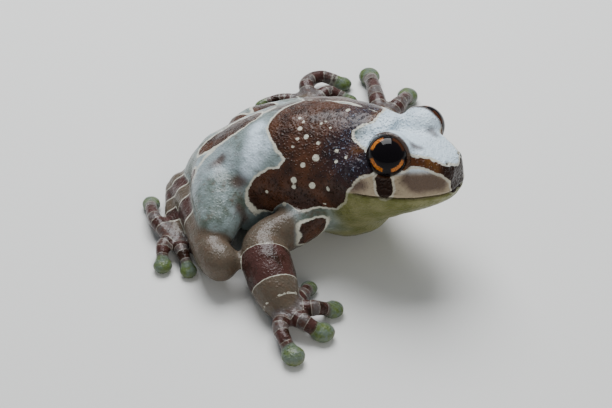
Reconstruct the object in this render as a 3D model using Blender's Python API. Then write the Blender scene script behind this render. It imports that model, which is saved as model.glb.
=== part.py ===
"""A life-size young Amazon milk frog, sitting on a flat floor and looking ahead.

The flesh is lofted and fused in millimetres, trimmed flat where it meets the floor, then parted with thin cuts
into the pieces that a person would name. +X is forward, +Y is the frog's left, +Z is up.
"""

import math

import bmesh
import bpy
import numpy as np
from mathutils import Euler, Matrix, Vector

MM = 0.001
GAP = 0.3                # the thin cut between touching pieces
VOXEL = 0.26             # grain of the fused flesh
RING = 36                # points round a lofted section
CRUMB = 0.4              # cubic millimetres, the largest scrap that a cut may leave to be thrown away
FLAT_DEPTH = 0.14        # how far each pad presses into the floor before it is trimmed flat

NECK = Vector((0.0, 0.0, 13.9))
HEAD_TURN = Euler((math.radians(-9.7), math.radians(-7.7), math.radians(2.6)), "XYZ")
EYES_FROM_NECK = Vector((7.65, 0.0, 2.25))
BODY_ROLL = math.radians(-11.0)
BODY_ROLL_HEIGHT = 8.0

EYE_RADIUS = 2.8
EYE_SIDE = 5.0           # from the middle of the head to the middle of an eye
EYE_MOUND = 3.45
LID_REACH = 3.15         # from the middle of the eye to the middle of its lid
LID_RADIUS = 0.32
MOUTH_HEIGHT = -5.1      # the mouth line, below the middle of the eyes
MOUTH_DEPTH = 0.5
MOUTH_WIDTH = 0.34
MOUTH_CORNER = -3.6
NECK_CUT = -5.7          # the cut between head and torso, behind the eyes
EARDRUM = Vector((-4.0, 6.55, -2.9))
EARDRUM_RADIUS = 1.5
NOSTRIL = Vector((6.1, 1.55, -1.5))
NOSTRIL_RADIUS = 0.33

# Torso stations: forward place, middle to the left, belly height, back height, half width.
TORSO = [
    (-22.8, -2.0, 2.4, 3.6, 1.0),
    (-22.0, -2.0, 1.0, 5.6, 3.4),
    (-20.0, -1.8, 0.2, 8.3, 6.0),
    (-17.0, -1.4, -0.1, 11.1, 8.0),
    (-13.0, -0.9, -0.12, 14.0, 9.3),
    (-9.0, -0.4, 0.0, 16.3, 9.6),
    (-5.0, 0.0, 0.3, 17.6, 9.3),
    (-1.0, 0.0, 0.8, 18.4, 8.6),
    (2.0, 0.0, 1.1, 18.7, 7.7),
    (5.0, 0.0, 3.0, 18.6, 6.2),
]

# Loose skin of the flank, which lies against each thigh.
FLANK_FOLDS = {
    "right": [((-14.5, -7.0, 5.2), 4.2), ((-10.3, -8.7, 4.8), 3.1)],
    "left": [((-14.5, 6.6, 4.9), 4.1), ((-10.3, 8.3, 4.5), 3.0)],
}

# Head stations, from the middle of the eyes: forward place, then half a section as (side, height) points
# from the crown over the canthus, the lip and the jaw to the throat.
HEAD = [
    (-8.0, [(0, -0.6), (4.4, -1.2), (6.8, -4.0), (7.2, -7.0), (6.2, -10.6), (3.6, -13.6), (0, -14.6)]),
    (-5.0, [(0, 0.0), (4.4, -0.1), (7.1, -2.8), (7.8, -5.3), (7.1, -8.2), (4.4, -11.6), (0, -12.8)]),
    (-2.0, [(0, 0.4), (4.0, 0.5), (6.6, -2.0), (7.7, -5.0), (6.9, -7.4), (4.2, -10.0), (0, -11.0)]),
    (1.0, [(0, 0.4), (3.3, 0.5), (5.2, -1.6), (6.8, -4.9), (6.1, -6.9), (3.5, -8.7), (0, -9.4)]),
    (3.4, [(0, -0.1), (2.9, 0.0), (4.1, -1.7), (5.7, -4.8), (5.1, -6.5), (2.8, -7.8), (0, -8.3)]),
    (5.0, [(0, -0.7), (2.5, -0.7), (3.3, -2.0), (4.4, -4.8), (3.8, -6.2), (2.1, -7.1), (0, -7.4)]),
    (6.2, [(0, -1.2), (1.9, -1.3), (2.5, -2.2), (3.1, -4.7), (2.6, -5.8), (1.5, -6.4), (0, -6.6)]),
    (6.9, [(0, -2.0), (1.1, -2.1), (1.6, -2.8), (1.8, -4.4), (1.5, -5.3), (0.8, -5.8), (0, -5.9)]),
]

# Limb joints (forward, left, up) and radii. Each side is posed on its own, as the frog sits.
ARMS = {
    "right": [
        ((-1.6, -5.6, 6.6), 2.9),
        ((-2.4, -9.2, 6.0), 2.7),
        ((-4.6, -13.5, 4.9), 2.7),
        ((-2.6, -16.2, 4.1), 3.2),
        ((0.3, -18.7, 2.9), 2.9),
        ((2.2, -20.0, 2.0), 2.1),
    ],
    "left": [
        ((-1.8, 5.6, 6.6), 2.9),
        ((-2.4, 9.2, 5.4), 2.6),
        ((-3.6, 12.4, 4.6), 2.5),
        ((-5.0, 15.6, 3.8), 2.9),
        ((-6.2, 18.8, 2.7), 2.5),
        ((-7.0, 20.8, 1.9), 1.9),
    ],
}
LEGS = {
    "right": {
        "thigh": [((-17.0, -4.0, 6.2), 4.4), ((-13.6, -9.8, 6.3), 4.1), ((-11.2, -14.5, 5.6), 2.9)],
        "shank": [((-8.0, -18.8, 3.8), 2.5), ((-10.4, -17.3, 3.8), 2.4), ((-16.6, -11.9, 3.7), 2.0),
                  ((-22.0, -7.1, 2.7), 1.6)],
        "foot": [((-22.4, -7.6, 1.95), 1.55), ((-20.2, -11.4, 1.6), 1.25), ((-17.4, -15.0, 1.4), 1.35)],
    },
    "left": {
        "thigh": [((-17.0, 3.6, 5.4), 4.4), ((-13.6, 9.4, 5.2), 4.0), ((-11.2, 12.8, 4.9), 2.9)],
        "shank": [((-10.6, 16.4, 4.1), 2.4), ((-12.8, 15.6, 4.0), 2.3), ((-17.8, 12.8, 3.3), 2.0),
                  ((-22.4, 10.2, 2.5), 1.6)],
        "foot": [((-22.8, 10.9, 1.9), 1.5), ((-20.9, 15.0, 1.6), 1.25), ((-18.6, 18.9, 1.4), 1.35)],
    },
}

# Digit paths from the palm or sole to the middle of the disc, with the radii of digit and disc.
DIGITS = {
    "hand_right": [
        ([(2.8, -18.4, 1.8), (2.9, -16.8, 1.9), (2.5, -15.2, 1.5), (2.1, -13.9, 0.9)], 0.85, 1.15),
        ([(3.6, -19.4, 1.9), (5.2, -18.2, 2.1), (6.2, -17.0, 1.6), (6.8, -15.8, 0.9)], 0.95, 1.35),
        ([(3.9, -20.6, 1.9), (5.6, -20.9, 2.1), (7.0, -20.7, 1.6), (8.0, -20.2, 0.9)], 1.00, 1.50),
        ([(3.0, -21.5, 1.8), (3.9, -23.4, 2.1), (5.6, -24.9, 1.8), (7.2, -25.7, 0.95)], 0.95, 1.50),
    ],
    "hand_left": [
        ([(-6.0, 20.4, 1.8), (-4.2, 20.2, 1.9), (-2.6, 19.8, 1.5), (-1.4, 19.2, 0.9)], 0.80, 1.10),
        ([(-6.2, 21.6, 1.8), (-4.4, 22.2, 2.1), (-2.7, 22.6, 1.6), (-1.3, 22.6, 0.9)], 0.90, 1.25),
        ([(-7.3, 22.4, 1.8), (-7.2, 24.6, 2.1), (-7.4, 26.8, 1.7), (-7.9, 28.6, 0.9)], 1.05, 1.50),
        ([(-8.5, 22.0, 1.8), (-10.6, 24.4, 2.2), (-12.9, 27.3, 1.9), (-14.9, 29.8, 0.95)], 1.10, 1.55),
    ],
    "foot_right": [
        ([(-16.2, -14.4, 1.2), (-14.9, -14.1, 1.1), (-13.6, -14.0, 0.9), (-12.6, -14.2, 0.7)], 0.62, 0.80),
        ([(-15.9, -15.3, 1.3), (-14.3, -15.7, 1.2), (-12.7, -16.3, 0.9), (-11.3, -16.9, 0.7)], 0.64, 0.88),
        ([(-16.2, -16.2, 1.4), (-14.9, -17.4, 1.7), (-13.6, -18.4, 1.4), (-12.5, -19.3, 0.8)], 0.84, 1.15),
        ([(-17.3, -16.3, 1.5), (-17.2, -18.0, 1.8), (-16.6, -19.2, 1.5), (-15.8, -20.3, 0.8)], 0.90, 1.25),
        ([(-18.2, -15.6, 1.5), (-20.8, -14.5, 1.8), (-22.9, -12.7, 1.6), (-24.2, -10.9, 0.85)], 0.88, 1.25),
    ],
    "foot_left": [
        ([(-17.4, 18.3, 1.3), (-15.9, 18.3, 1.2), (-14.4, 18.3, 0.9), (-13.2, 18.1, 0.7)], 0.66, 0.85),
        ([(-17.1, 19.3, 1.4), (-15.6, 20.0, 1.5), (-14.2, 20.6, 1.2), (-12.9, 20.9, 0.8)], 0.76, 1.00),
        ([(-17.7, 20.1, 1.4), (-17.3, 22.1, 1.8), (-16.0, 22.8, 1.5), (-14.4, 23.2, 0.8)], 0.95, 1.25),
        ([(-18.9, 20.1, 1.5), (-20.7, 22.2, 1.9), (-20.1, 25.0, 1.8), (-17.3, 26.3, 0.85)], 1.00, 1.30),
        ([(-20.2, 18.9, 1.3), (-21.9, 18.2, 1.3), (-23.4, 17.1, 1.1), (-24.2, 15.8, 0.8)], 0.72, 0.95),
    ],
}
PALMS = {
    "hand_right": ((2.4, -20.1, 1.8), 1.95),
    "hand_left": ((-7.0, 20.9, 1.75), 1.8),
    "foot_right": ((-17.3, -15.1, 1.35), 1.35),
    "foot_left": ((-18.5, 19.1, 1.35), 1.35),
}
WEB_RADIUS = 0.5
PALM_STRETCH = 1.3       # radius of the rays that carry each digit out of the palm, against the digit's own
HIP_CUT = 0.3            # how far the hip's cut lies between the thigh's last two points
FINGER_CUT = 0.5         # how far a digit's cut lies between its second and third points
SPARE = 1.7              # radius of a cut against the limb's own
ARM_SPARE = 1.45         # the same at shoulders and wrists
HIP_PLATE = 6.3          # radius of the hip's cut

# Triangles left in each fused body.
TRIANGLES = {"head": 2600, "body": 4200, "shank": 340, "foot": 1150}

COLOURS = {
    "head": (0.55, 0.60, 0.62), "torso": (0.22, 0.15, 0.13), "eye": (0.015, 0.011, 0.010),
    "upper_arm": (0.33, 0.30, 0.27), "forearm": (0.20, 0.13, 0.12), "hand": (0.24, 0.20, 0.20),
    "thigh": (0.42, 0.45, 0.42), "shank": (0.26, 0.27, 0.25), "foot": (0.24, 0.21, 0.22),
    "finger": (0.24, 0.27, 0.20), "toe": (0.27, 0.31, 0.22),
}


def clear_scene():
    """Removes the start-up objects."""
    for obj in list(bpy.data.objects):
        bpy.data.objects.remove(obj)


def head_matrix():
    """Places the head's own frame, whose origin is midway between the eyes."""
    turn = HEAD_TURN.to_matrix().to_4x4()
    return Matrix.Translation(NECK) @ turn @ Matrix.Translation(EYES_FROM_NECK)


def body_matrix():
    """Leans the torso a little to the frog's left, about a line along its middle."""
    pivot = Matrix.Translation((0.0, 0.0, BODY_ROLL_HEIGHT))
    return pivot @ Matrix.Rotation(BODY_ROLL, 4, "X") @ pivot.inverted()


def smooth_path(points, steps):
    """Catmull-Rom curve through the points, with an equal number of steps in each span."""
    p = np.array(points, float)
    p = np.vstack([2 * p[0] - p[1], p, 2 * p[-1] - p[-2]])
    made = []
    for i in range(1, len(p) - 2):
        for t in np.linspace(0, 1, steps, endpoint=False):
            a, b, c, d = p[i - 1: i + 3]
            made.append(0.5 * (2 * b + (c - a) * t + (2 * a - 5 * b + 4 * c - d) * t * t
                               + (3 * b - a - 3 * c + d) * t ** 3))
    made.append(p[-2])
    return np.array(made)


def finish_mesh(name, mesh):
    """Writes a bmesh to a new object in the scene."""
    data = bpy.data.meshes.new(name)
    mesh.to_mesh(data)
    mesh.free()
    obj = bpy.data.objects.new(name, data)
    bpy.context.scene.collection.objects.link(obj)
    return obj


def bridge_rings(name, rings, closed=False):
    """One closed mesh object through rings of points; its ends are capped, or joined to each other."""
    mesh = bmesh.new()
    loops = []
    for ring in rings:
        circle = bmesh.ops.create_circle(mesh, segments=len(ring), radius=1.0)["verts"]
        for vert, place in zip(circle, ring):
            vert.co = place
        loops.append(list({e for v in circle for e in v.link_edges}))
    pairs = list(zip(loops, loops[1:])) + ([(loops[-1], loops[0])] if closed else [])
    for first, second in pairs:
        bmesh.ops.bridge_loops(mesh, edges=first + second)
    bmesh.ops.holes_fill(mesh, edges=[e for e in mesh.edges if e.is_boundary], sides=0)
    bmesh.ops.recalc_face_normals(mesh, faces=mesh.faces)
    return finish_mesh(name, mesh)


def section(half):
    """A closed ring of RING points from half a section, as (side, height) points from top to bottom."""
    left = smooth_path(half, 12)
    right = left[-2:0:-1] * [-1, 1]
    loop = np.vstack([left, right])
    closed = np.vstack([loop, loop[:1]])
    along = np.concatenate([[0], np.cumsum(np.linalg.norm(np.diff(closed, axis=0), axis=1))])
    wanted = np.linspace(0, along[-1], RING, endpoint=False)
    return np.column_stack([np.interp(wanted, along, closed[:, i]) for i in (0, 1)])


def ball(name, centre, radius, place=None, shape=(1, 1, 1)):
    """A closed sphere, or an egg shape, in the frame that place gives."""
    mesh = bmesh.new()
    bmesh.ops.create_uvsphere(mesh, u_segments=18, v_segments=12, radius=radius)
    where = (place or Matrix()) @ Matrix.Translation(centre) @ Matrix.Diagonal((*shape, 1))
    bmesh.ops.transform(mesh, matrix=where, verts=mesh.verts)
    return finish_mesh(name, mesh)


def eyelids(side):
    """The soft rim of skin round one eye, thicker above than below."""
    outward = Vector((0.06, side, 0.10)).normalized()
    across = outward.cross(Vector((1, 0, 0))).normalized()
    forward = across.cross(outward)
    place = head_matrix()
    joints = []
    for angle in np.linspace(0, 2 * math.pi * 0.97, 15):
        rim = (forward * math.cos(angle) + across * math.sin(angle)) * 0.99 + outward * 0.13
        at = Vector((0, side * EYE_SIDE, 0)) + rim * LID_REACH
        joints.append((place @ at, LID_RADIUS * (1.15 if at.z > 0 else 0.9)))
    return limb("eyelids", joints)


def make_head():
    """The head and throat, lofted from its stations, with the mounds that hold the eyes and the eardrums."""
    stations = smooth_path([[x, *np.ravel(half)] for x, half in HEAD], 5)
    place = head_matrix()
    rings = []
    for row in stations:
        ring = section(row[1:].reshape(-1, 2))
        rings.append([place @ Vector((row[0], y, z)) for y, z in ring])
    pieces = [bridge_rings("head_loft", rings)]
    for side in (-1, 1):
        pieces.append(ball("eye_mound", (-0.1, side * (EYE_SIDE - 1.0), -0.2), EYE_MOUND, place))
        pieces.append(eyelids(side))
        drum = Vector((EARDRUM.x, side * EARDRUM.y, EARDRUM.z))
        pieces.append(ball("eardrum", drum, EARDRUM_RADIUS, place, (1, 0.5, 1)))
    return pieces


def make_torso():
    """The plump trunk, lofted from its stations and leaned a little to the left."""
    lean = body_matrix()
    rings = []
    for x, side, low, high, wide in smooth_path(TORSO, 5):
        middle, tall = (low + high) / 2, (high - low) / 2
        ring = []
        for i in range(RING):
            angle = 2 * math.pi * i / RING
            y = side + wide * math.cos(angle) * (1 - 0.10 * math.sin(angle))
            ring.append(lean @ Vector((x, y, middle + tall * math.sin(angle))))
        rings.append(ring)
    folds = [limb("flank_fold", FLANK_FOLDS[side]) for side in FLANK_FOLDS]
    return [bridge_rings("torso_loft", rings)] + folds


def limb(name, joints):
    """A round limb through joints of (place, radius), with rounded ends."""
    rows = smooth_path([[*place, radius] for place, radius in joints], 6)
    tangents = np.gradient(rows[:, :3], axis=0)
    cap = [math.sin(math.radians(a)) for a in (-80, -60, -35)]
    stations = [(rows[0], tangents[0], c) for c in cap]
    stations += [(row, tangent, 0) for row, tangent in zip(rows, tangents)]
    stations += [(rows[-1], tangents[-1], -c) for c in reversed(cap)]
    rings = []
    for row, tangent, c in stations:
        forward = Vector(tangent).normalized()
        across = forward.cross(Vector((0, 0, 1))).normalized()
        up = across.cross(forward)
        middle = Vector(row[:3]) + forward * (row[3] * c)
        wide = row[3] * math.sqrt(1 - c * c)
        rings.append([middle + across * (wide * math.cos(t)) + up * (wide * math.sin(t))
                      for t in np.linspace(0, 2 * math.pi, 20, endpoint=False)])
    return bridge_rings(name, rings)


def make_digits(foot):
    """The palm or sole of one hand or foot with its digits, discs and basal webs."""
    centre, size = PALMS[foot]
    pieces = []
    for path, radius, disc in DIGITS[foot]:
        widths = [radius * 1.15, radius * 1.1, radius * 0.9, radius * 0.95]
        pieces.append(limb("digit", list(zip(path, widths))))
        pieces.append(disc_pad(path[-2], path[-1], disc))
        pieces.append(limb("ray", [(centre, size), (path[0], radius * PALM_STRETCH)]))
    for (first, *_), (second, *_) in zip(DIGITS[foot], DIGITS[foot][1:]):
        for step in (0.25, 0.55, 0.8):
            start = Vector(first[0]).lerp(Vector(first[1]), step)
            end = Vector(second[0]).lerp(Vector(second[1]), step)
            middle = start.lerp(end, 0.5).lerp(Vector(centre), 0.22)
            pieces.append(limb("web", [(start, WEB_RADIUS), (middle, WEB_RADIUS), (end, WEB_RADIUS)]))
    return pieces


def disc_pad(before, tip, radius):
    """The flattened round disc at the end of a digit, its sole just inside the floor."""
    forward = Vector(tip) - Vector(before)
    turn = Matrix.Rotation(math.atan2(forward.y, forward.x), 4, "Z")
    thick = 0.72
    place = Matrix.Translation((tip[0], tip[1], radius * thick - FLAT_DEPTH)) @ turn
    return ball("disc", (0, 0, 0), radius, place, (1.06, 1.0, thick))


def join(name, pieces):
    """Joins several objects into one."""
    with bpy.context.temp_override(active_object=pieces[0], selected_editable_objects=pieces):
        bpy.ops.object.join()
    pieces[0].name = name
    return pieces[0]


def apply_modifiers(obj):
    """Turns what an object's modifiers make into its own mesh."""
    graph = bpy.context.evaluated_depsgraph_get()
    made = bpy.data.meshes.new_from_object(obj.evaluated_get(graph))
    obj.modifiers.clear()
    obj.data = made
    return obj


def fuse(obj, smooth_steps):
    """Grows overlapping pieces into one skin, then softens it."""
    remesh = obj.modifiers.new("fuse", "REMESH")
    remesh.mode = "VOXEL"
    remesh.voxel_size = VOXEL
    soften = obj.modifiers.new("soften", "SMOOTH")
    soften.factor = 0.5
    soften.iterations = smooth_steps
    return apply_modifiers(obj)


def thin(obj, triangles):
    """Reduces the triangle count."""
    count = sum(len(p.vertices) - 2 for p in obj.data.polygons)
    reduce = obj.modifiers.new("thin", "DECIMATE")
    reduce.ratio = min(1.0, triangles / count)
    return apply_modifiers(obj)


def subtract(obj, cutters):
    """Cuts each cutter out of the object, then removes the cutters."""
    for cutter in cutters:
        cut = obj.modifiers.new("cut", "BOOLEAN")
        cut.operation = "DIFFERENCE"
        cut.solver = "MANIFOLD"
        cut.object = cutter
        apply_modifiers(obj)
        bpy.data.objects.remove(cutter)
    return obj


def swollen(obj, by=GAP):
    """A copy of an object, grown outward by the gap that touching pieces keep."""
    copy = bpy.data.objects.new("cutter", obj.data.copy())
    bpy.context.scene.collection.objects.link(copy)
    grow = copy.modifiers.new("grow", "DISPLACE")
    grow.mid_level = 0.0
    grow.strength = by
    return apply_modifiers(copy)


def plate(centre, normal, radius, thick=GAP):
    """A thin round cutter across a limb."""
    turn = Vector(normal).to_track_quat("Z", "Y").to_matrix().to_4x4()
    mesh = bmesh.new()
    bmesh.ops.create_cone(mesh, cap_ends=True, segments=24, radius1=radius, radius2=radius, depth=thick,
                          matrix=Matrix.Translation(centre) @ turn)
    return finish_mesh("cutter", mesh)


def floor_block():
    """Everything below the floor."""
    mesh = bmesh.new()
    bmesh.ops.create_cube(mesh, size=120.0, matrix=Matrix.Translation((0, 0, -60.0)))
    return finish_mesh("cutter", mesh)


def mouth_groove():
    """A thin band that follows the lips from corner to corner, a little inside the head's widest line."""
    stations = [row for row in smooth_path([[x, *np.ravel(half)] for x, half in HEAD], 5)]
    line = [(row[0], row[7]) for row in stations if row[0] >= MOUTH_CORNER]
    tip = line[-1]
    line = line + [(tip[0] + 0.25, tip[1] * 0.55), (tip[0] + 0.3, 0.0)]
    outline = np.array(line + [(x, -y) for x, y in reversed(line[:-1])])
    along = np.gradient(outline, axis=0)
    outward = np.column_stack([along[:, 1], -along[:, 0]])
    outward /= -np.linalg.norm(outward, axis=1)[:, None]
    place = head_matrix()
    rings = []
    for (x, y), (nx, ny) in zip(outline, outward):
        half = MOUTH_WIDTH / 2
        ring = []
        for out, up in ((-MOUTH_DEPTH, -half), (1.2, -half), (1.2, half), (-MOUTH_DEPTH, half)):
            ring.append(place @ Vector((x + nx * out, y + ny * out, MOUTH_HEIGHT + up)))
        rings.append(ring)
    return bridge_rings("cutter", rings)


def head_cutters():
    """The eye sockets, nostrils and mouth line."""
    place = head_matrix()
    cutters = [mouth_groove()]
    for side in (-1, 1):
        cutters.append(ball("cutter", (0, side * EYE_SIDE, 0), EYE_RADIUS + GAP, place))
        nostril = Vector((NOSTRIL.x, side * NOSTRIL.y, NOSTRIL.z))
        cutters.append(ball("cutter", nostril, NOSTRIL_RADIUS, place, (1.4, 1.4, 1.0)))
    return cutters


def digit_cutters(foot):
    """The thin cut at the root of each digit."""
    cutters = []
    for path, radius, _ in DIGITS[foot]:
        start, end = Vector(path[1]), Vector(path[2])
        cutters.append(plate(start.lerp(end, FINGER_CUT), end - start, radius * SPARE))
    return cutters


def limb_cutters():
    """The cuts at shoulders, elbows, wrists and hips."""
    cutters = []
    for side, joints in ARMS.items():
        for index, lean, spare in ((1, 0.45, ARM_SPARE), (2, 0.0, SPARE), (4, 0.15, ARM_SPARE)):
            before, here, after = (Vector(joints[i][0]) for i in (index - 1, index, index + 1))
            normal = (here - before).normalized() + (after - here).normalized()
            cutters.append(plate(here.lerp(after, lean), normal, joints[index][1] * spare))
    for side, parts in LEGS.items():
        _, middle, end = (Vector(place) for place, _ in parts["thigh"])
        outward = Vector((0.1, math.copysign(1.0, middle.y), 0))
        cutters.append(plate(middle.lerp(end, HIP_CUT), outward, HIP_PLATE))
    return cutters


def split(obj):
    """Separates a cut body into its loose pieces and drops the crumbs."""
    mesh = bmesh.new()
    mesh.from_mesh(obj.data)
    left = set(mesh.verts)
    islands = []
    while left:
        stack = [left.pop()]
        island = set(stack)
        while stack:
            for edge in stack.pop().link_edges:
                for vert in edge.verts:
                    if vert in left:
                        left.discard(vert)
                        island.add(vert)
                        stack.append(vert)
        islands.append({v.index for v in island})
    mesh.free()
    pieces = []
    for island in islands:
        one = bmesh.new()
        one.from_mesh(obj.data)
        bmesh.ops.delete(one, geom=[v for v in one.verts if v.index not in island], context="VERTS")
        if one.calc_volume() > CRUMB:
            pieces.append(finish_mesh("piece", one))
        else:
            one.free()
    bpy.data.objects.remove(obj)
    return pieces


def middle_of(obj):
    """The average place of an object's points."""
    return sum((v.co for v in obj.data.vertices), Vector()) / len(obj.data.vertices)


def seeds():
    """The name of each piece with a point in its middle."""
    found = {"head": head_matrix() @ Vector((1.0, 0, -3.0)), "torso": Vector((-9.0, 0.0, 8.5))}
    for side, joints in ARMS.items():
        found["upper_arm_" + side] = Vector(joints[1][0]).lerp(Vector(joints[2][0]), 0.5)
        found["forearm_" + side] = Vector(joints[3][0])
    for side, parts in LEGS.items():
        found["thigh_" + side] = Vector(parts["thigh"][1][0])
    for foot, digits in DIGITS.items():
        found[foot] = Vector(PALMS[foot][0])
        for number, (path, *_) in enumerate(digits, 1):
            kind = "finger" if foot.startswith("hand") else "toe"
            name = "{}_{}_{}".format(kind, number, foot.split("_")[1])
            found[name] = Vector(path[2]).lerp(Vector(path[3]), 0.5)
    return found


def name_pieces(pieces, names):
    """Names each piece after the nearest seed, and insists that each name is used once."""
    wanted = dict(names)
    for piece in sorted(pieces, key=lambda p: -len(p.data.vertices)):
        here = middle_of(piece)
        name = min(wanted, key=lambda n: (wanted[n] - here).length)
        piece.name = name
        del wanted[name]
    if wanted:
        raise RuntimeError("pieces not found: " + ", ".join(wanted))


def paint(obj):
    """Gives a piece its own plain material."""
    kind = next(k for k in sorted(COLOURS, key=len, reverse=True) if obj.name.startswith(k))
    material = bpy.data.materials.new(obj.name)
    material.use_nodes = True
    shader = material.node_tree.nodes["Principled BSDF"]
    shader.inputs["Base Color"].default_value = (*COLOURS[kind], 1.0)
    shader.inputs["Roughness"].default_value = 0.05 if kind == "eye" else 0.35
    shader.inputs["Metallic"].default_value = 0.0
    obj.data.materials.clear()
    obj.data.materials.append(material)


def make_leg(side, clear_of):
    """One shank and one foot, each cut clear of what lies over it."""
    shank = thin(fuse(limb("shank_" + side, LEGS[side]["shank"]), 4), TRIANGLES["shank"])
    subtract(shank, [swollen(obj) for obj in clear_of])
    foot = "foot_" + side
    flesh = fuse(join(foot, [limb("sole", LEGS[side]["foot"])] + make_digits(foot)), 2)
    flesh = thin(flesh, TRIANGLES["foot"])
    subtract(flesh, [swollen(obj) for obj in clear_of + [shank]])
    subtract(flesh, [floor_block()] + digit_cutters(foot))
    shank = max(split(shank), key=lambda p: len(p.data.vertices))
    shank.name = "shank_" + side
    return shank, split(flesh)


def make_flesh():
    """Head, torso, arms and thighs as one soft body, then the hind legs folded against it."""
    core = join("core", make_head() + make_torso() + [limb("arm", joints) for joints in ARMS.values()]
                + [limb("thigh", parts["thigh"]) for parts in LEGS.values()])
    core = fuse(core, 8)
    core = fuse(join("core", [core] + make_digits("hand_right") + make_digits("hand_left")), 2)
    place = head_matrix()
    subtract(core, [plate(place @ Vector((NECK_CUT, 0, -5.0)), place.to_3x3() @ Vector((1, 0, 0)), 11.5)])
    head, body = sorted(split(core), key=middle_x, reverse=True)
    head = subtract(thin(head, TRIANGLES["head"]), head_cutters())
    body = subtract(thin(body, TRIANGLES["body"]), [floor_block()])
    toes = []
    for side in LEGS:
        shank, pieces = make_leg(side, [body])
        toes += pieces
    subtract(body, digit_cutters("hand_right") + digit_cutters("hand_left") + limb_cutters())
    head = max(split(head), key=lambda p: len(p.data.vertices))
    name_pieces([head] + split(body) + toes, seeds())


def middle_x(obj):
    """How far forward an object's middle is."""
    return middle_of(obj).x


def recentre():
    """Scales the frog to metres and sets it down with its box's bottom middle at the origin."""
    objects = list(bpy.context.scene.objects)
    points = np.array([v.co for obj in objects for v in obj.data.vertices])
    low, high = points.min(axis=0), points.max(axis=0)
    shift = Matrix.Translation((-(low[0] + high[0]) / 2, -(low[1] + high[1]) / 2, -low[2]))
    for obj in objects:
        obj.data.transform(Matrix.Scale(MM, 4) @ shift)


def main():
    clear_scene()
    make_flesh()
    for side, name in ((-1, "right"), (1, "left")):
        ball("eye_" + name, (0, side * EYE_SIDE, 0), EYE_RADIUS, head_matrix())
    for obj in bpy.context.scene.objects:
        paint(obj)
    recentre()


main()
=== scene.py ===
"""The looks of a life-size young Amazon milk frog, built as a Blender add-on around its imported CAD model.

One smooth skin stands for all the flesh, and each eye is a piece of its own. Shapes are made in
millimetres in the frog's own posture, with +X forward, +Y to its left and +Z up, and then set where the CAD
model stands.
"""

import math

import bmesh
import bpy
import numpy as np
from bpy.props import FloatProperty, FloatVectorProperty, PointerProperty
from mathutils import Euler, Matrix, Vector, noise


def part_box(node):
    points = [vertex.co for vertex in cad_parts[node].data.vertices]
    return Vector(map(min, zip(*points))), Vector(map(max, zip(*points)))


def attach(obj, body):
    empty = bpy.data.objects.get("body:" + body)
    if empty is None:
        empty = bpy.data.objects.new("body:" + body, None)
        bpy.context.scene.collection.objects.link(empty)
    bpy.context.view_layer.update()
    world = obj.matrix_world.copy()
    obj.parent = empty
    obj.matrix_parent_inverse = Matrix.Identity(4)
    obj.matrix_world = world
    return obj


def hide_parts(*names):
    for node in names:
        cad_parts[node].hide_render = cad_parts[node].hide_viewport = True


bl_info = {
    "name": "Young milk frog",
    "version": (1, 0, 0),
    "blender": (4, 5, 0),
    "location": "3D View > Sidebar > Frog",
    "description": "Builds the skin, eyes and stage of a sitting tree frog",
    "category": "Object",
}

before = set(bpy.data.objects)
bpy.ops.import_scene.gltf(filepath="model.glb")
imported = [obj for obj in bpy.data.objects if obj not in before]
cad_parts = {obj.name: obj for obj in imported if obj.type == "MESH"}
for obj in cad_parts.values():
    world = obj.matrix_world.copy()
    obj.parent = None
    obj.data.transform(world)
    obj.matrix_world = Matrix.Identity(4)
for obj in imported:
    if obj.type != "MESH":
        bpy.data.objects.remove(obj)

MM = 0.001
RING = 48                # points round a lofted section
FLAT_DEPTH = 0.14        # how far each pad presses into the floor before it is trimmed flat
HEAD_BACK = -6.5         # the skin is twice as fine in front of this, seen from between the eyes
FAR = 9.0                # the greatest distance that the fields of the material store

NECK = Vector((0.0, 0.0, 13.9))
HEAD_TURN = Euler((math.radians(-9.7), math.radians(-7.7), math.radians(2.6)), "XYZ")
EYES_FROM_NECK = Vector((7.65, 0.0, 2.25))
BODY_ROLL = math.radians(-11.0)
BODY_ROLL_HEIGHT = 8.0

EYE_RADIUS = 2.62
EYE_SIDE = 5.0           # from the middle of the head to the middle of an eye
EYE_SET_BACK = Vector((-0.3, 0.0, -0.3))    # from the CAD model's eye, which is a little larger
EYE_LOOK = Vector((0.37, 0.77, 0.52))       # the way the left eye faces; the right eye mirrors it
EYE_CLEARANCE = 0.02     # between an eyeball and its socket
EYE_MOUND = 2.82
EYE_MOUND_BACK = -0.45
EYE_MOUND_INWARD = 1.05
EYE_MOUND_DOWN = -0.38
LID_INWARD = -0.16       # the plane of the lids, in shares of their reach
LID_REACH = 2.66         # from the middle of the eye to the middle of its lid
LID_RADIUS = 0.24
MOUTH_HEIGHT = -5.1      # the mouth line, below the middle of the eyes
MOUTH_CORNER = -3.6
EARDRUM = Vector((-4.0, 6.55, -2.9))
EARDRUM_RADIUS = 1.5
NOSTRIL = Vector((6.1, 1.55, -1.5))

# Torso stations: forward place, middle to the left, belly height, back height, half width.
TORSO = [
    (-22.8, -2.0, 2.4, 3.6, 1.0),
    (-22.0, -2.0, 1.0, 5.6, 3.4),
    (-20.0, -1.8, 0.2, 8.3, 6.0),
    (-17.0, -1.4, -0.1, 11.1, 8.0),
    (-13.0, -0.9, -0.12, 14.0, 9.3),
    (-9.0, -0.4, 0.0, 16.3, 9.6),
    (-5.0, 0.0, 0.3, 17.6, 9.3),
    (-1.0, 0.0, 0.8, 18.4, 8.6),
    (2.0, 0.0, 1.1, 18.7, 7.7),
    (5.0, 0.0, 3.0, 18.6, 6.2),
]

# Loose skin of the flank, which lies against each thigh.
FLANK_FOLDS = {
    "right": [((-14.5, -7.0, 5.2), 4.2), ((-10.3, -8.7, 4.8), 3.1)],
    "left": [((-14.5, 6.6, 4.9), 4.1), ((-10.3, 8.3, 4.5), 3.0)],
}

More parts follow.
